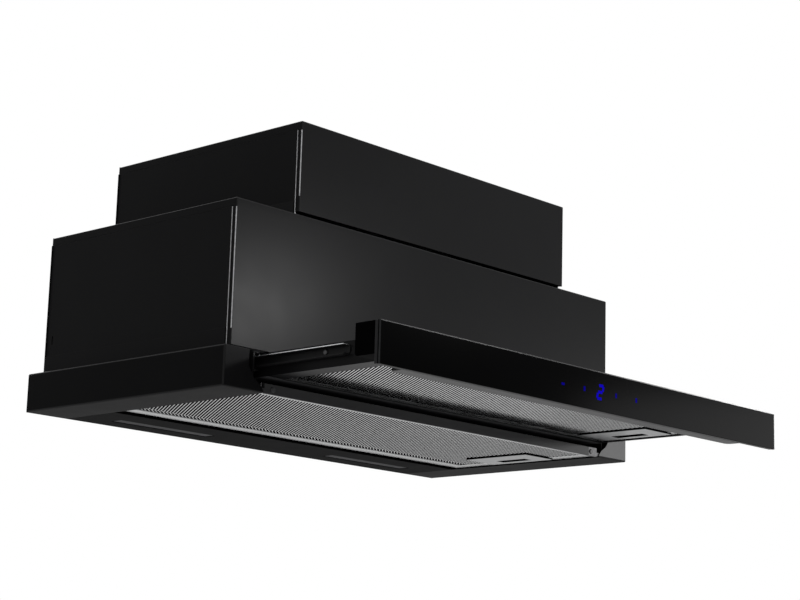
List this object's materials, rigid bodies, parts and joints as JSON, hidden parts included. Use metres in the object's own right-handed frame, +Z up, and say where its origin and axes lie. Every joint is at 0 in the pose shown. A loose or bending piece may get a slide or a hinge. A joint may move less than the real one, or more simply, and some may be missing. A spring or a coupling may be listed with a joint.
{
  "type": "range_hood",
  "caption": "Pull-out cooker hood for a wall cabinet: stepped black steel casing, glass-fronted filter drawer on ball slides, two latched grease filters, fan and duct flaps",
  "frame": {"origin": "middle of the footprint with the drawer pulled out, at the level of the underside", "axes": "+X along the front to the user's right, +Y to the wall, +Z up"},
  "size_m": [0.598, 0.475, 0.306],
  "materials": {
    "black_steel": "satin black powder coat",
    "black_steel_dark": "satin black powder coat",
    "zinc_steel": "zinc-plated pressed steel",
    "bright_steel": "polished steel",
    "grey_paint": "grey painted steel",
    "filter_aluminium": "matt rolled aluminium",
    "black_plastic": "fine-grained black plastic",
    "grey_plastic": "grey moulded plastic",
    "black_glass": "tempered glass, black enamelled behind",
    "lens": "milky light lens",
    "board": "circuit board",
    "bronze": "sintered bearing bronze"
  },
  "bodies": {
    "housing": {"base_frame": "black_steel", "front_rail": "grey_paint", "lower_shell": "black_steel", "lower_side_left": "black_steel_dark", "lower_side_right": "black_steel_dark", "upper_shell": "black_steel", "upper_side_left": "black_steel_dark", "upper_side_right": "black_steel_dark", "back_panel": "black_steel", "light_panel": "black_steel", "light_lens_left": "lens", "light_lens_right": "lens", "light_boards": "board", "slide_bracket_left": "zinc_steel", "slide_bracket_right": "zinc_steel", "slide_outer_left": "zinc_steel", "slide_outer_right": "zinc_steel", "scroll_left": "grey_plastic", "scroll_right": "grey_plastic", "motor_case": "zinc_steel", "motor_mount": "zinc_steel", "motor_bearings": "bronze", "fan_capacitor": "filter_aluminium", "control_box": "black_plastic", "cable_gland": "black_plastic", "duct_collar": "black_plastic", "flap_pin": "zinc_steel", "switch_body": "black_plastic", "housing_screws": "zinc_steel"},
    "drawer": {"drawer_tray": "black_steel", "grip_profile": "grey_paint", "glass_panel": "black_glass", "panel_backing": "zinc_steel", "end_cap_left": "black_plastic", "end_cap_right": "black_plastic", "touch_board": "board", "display_module": "black_glass", "slide_inner_left": "zinc_steel", "slide_inner_right": "zinc_steel", "drawer_screws": "bright_steel"},
    "cage_left": {"slide_cage_left": "zinc_steel", "slide_balls_left": "bright_steel"},
    "cage_right": {"slide_cage_right": "zinc_steel", "slide_balls_right": "bright_steel"},
    "rear_filter": {"rear_filter_frame": "filter_aluminium", "rear_filter_mesh": "filter_aluminium", "rear_filter_core": "filter_aluminium", "rear_latch_plate": "filter_aluminium"},
    "rear_latch": {"rear_latch": "black_plastic"},
    "front_filter": {"front_filter_frame": "filter_aluminium", "front_filter_mesh": "filter_aluminium", "front_filter_core": "filter_aluminium", "front_latch_plate": "filter_aluminium"},
    "front_latch": {"front_latch": "black_plastic"},
    "fan": {"fan_wheel": "grey_plastic", "motor_shaft": "bright_steel"},
    "flap_front": {"flap_front": "black_plastic"},
    "flap_rear": {"flap_rear": "black_plastic"},
    "switch_lever": {"switch_lever": "zinc_steel"}
  },
  "joints": [
    {"name": "drawer_slide", "type": "slide", "parent": "housing", "child": "drawer", "axis": [0, -1, 0], "range_m": [-0.159, 0]},
    {"name": "cage_left_slide", "type": "slide", "parent": "housing", "child": "cage_left", "axis": [0, -1, 0], "range_m": [-0.0795, 0]},
    {"name": "cage_right_slide", "type": "slide", "parent": "housing", "child": "cage_right", "axis": [0, -1, 0], "range_m": [-0.0795, 0]},
    {"name": "rear_filter_hinge", "type": "hinge", "parent": "housing", "child": "rear_filter", "pos_m": [-0.2502, 0.0525, 0.0012], "axis": [0, 1, 0], "range_deg": [0, 60]},
    {"name": "rear_latch_slide", "type": "slide", "parent": "rear_filter", "child": "rear_latch", "axis": [-1, 0, 0], "range_m": [0, 0.005], "stiffness_N_per_m": 200},
    {"name": "front_filter_hinge", "type": "hinge", "parent": "drawer", "child": "front_filter", "pos_m": [-0.2302, -0.1275, 0.0162], "axis": [0, 1, 0], "range_deg": [0, 60]},
    {"name": "front_latch_slide", "type": "slide", "parent": "front_filter", "child": "front_latch", "axis": [-1, 0, 0], "range_m": [0, 0.005], "stiffness_N_per_m": 200},
    {"name": "fan_spin", "type": "hinge", "parent": "housing", "child": "fan", "pos_m": [0, 0.0775, 0.142], "axis": [1, 0, 0], "continuous": true},
    {"name": "flap_front_hinge", "type": "hinge", "parent": "housing", "child": "flap_front", "pos_m": [0, 0.1425, 0.285], "axis": [-1, 0, 0], "range_deg": [0, 80]},
    {"name": "flap_rear_hinge", "type": "hinge", "parent": "housing", "child": "flap_rear", "pos_m": [0, 0.1425, 0.285], "axis": [1, 0, 0], "range_deg": [0, 80]},
    {"name": "switch_lever_hinge", "type": "hinge", "parent": "housing", "child": "switch_lever", "pos_m": [0.1925, 0.1585, 0.024], "axis": [0, 0, 1], "range_deg": [0, 15], "stiffness_Nm_per_rad": 0.01}
  ],
  "couplings": [
    {"joint": "cage_left_slide", "follows": "drawer_slide", "ratio": 0.5},
    {"joint": "cage_right_slide", "follows": "drawer_slide", "ratio": 0.5}
  ]
}
